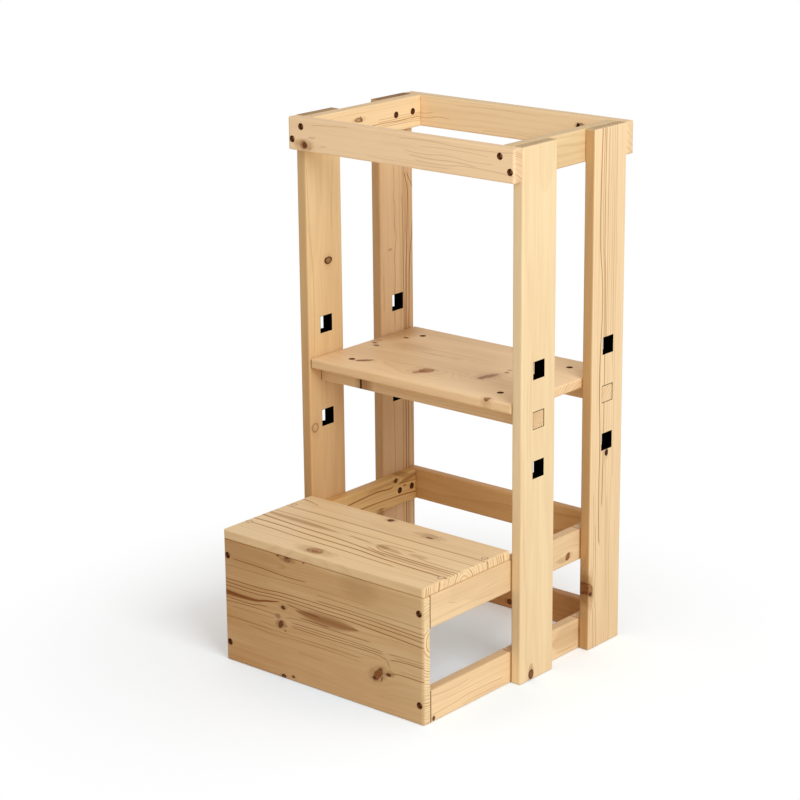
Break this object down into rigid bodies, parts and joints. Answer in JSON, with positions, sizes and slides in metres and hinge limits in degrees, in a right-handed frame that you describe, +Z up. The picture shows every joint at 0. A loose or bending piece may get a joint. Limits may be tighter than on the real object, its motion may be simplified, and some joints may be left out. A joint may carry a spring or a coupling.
{
  "type": "toddler kitchen helper stool",
  "caption": "Wooden step-up tower for a toddler: a boxed step, mortised legs, a platform on square bars and a handrail frame",
  "frame": {"origin": "on the floor, below the middle of the stool's width and of its depth", "axes": "+X to the right of a child who faces the back, +Y from the step towards the back, +Z up"},
  "size_m": [0.429, 0.468, 0.808],
  "materials": {
    "leg_pine": "satin",
    "rail_pine": "satin",
    "panel_pine": "satin",
    "bar_pine": "satin",
    "plug_pine": "satin",
    "screw_metal": "satin"
  },
  "bodies": {
    "frame": {"leg_front_left": "leg_pine", "leg_front_right": "leg_pine", "leg_back_left": "leg_pine", "leg_back_right": "leg_pine", "top_rail_front": "rail_pine", "top_rail_back": "rail_pine", "top_rail_left": "rail_pine", "top_rail_right": "rail_pine", "step_rail_left": "rail_pine", "step_rail_right": "rail_pine", "step_rail_back": "rail_pine", "foot_rail_left": "rail_pine", "foot_rail_right": "rail_pine", "foot_rail_back": "rail_pine", "riser_panel": "panel_pine", "step_tread": "panel_pine", "platform_bar_front": "bar_pine", "platform_bar_back": "bar_pine", "tread_plugs": "plug_pine", "top_rail_front_screws": "screw_metal", "top_rail_back_screws": "screw_metal", "top_rail_left_screws": "screw_metal", "top_rail_right_screws": "screw_metal", "riser_screws": "screw_metal", "base_back_screws": "screw_metal", "step_rail_left_screws": "screw_metal", "step_rail_right_screws": "screw_metal", "foot_rail_left_screws": "screw_metal", "foot_rail_right_screws": "screw_metal", "tread_screws": "screw_metal"},
    "platform": {"platform_board": "panel_pine", "platform_screws": "screw_metal"}
  },
  "joints": [
    {"name": "platform_lift", "type": "slide", "parent": "frame", "child": "platform", "axis": [0, 0, 1], "range_m": [0, 0.32]}
  ]
}
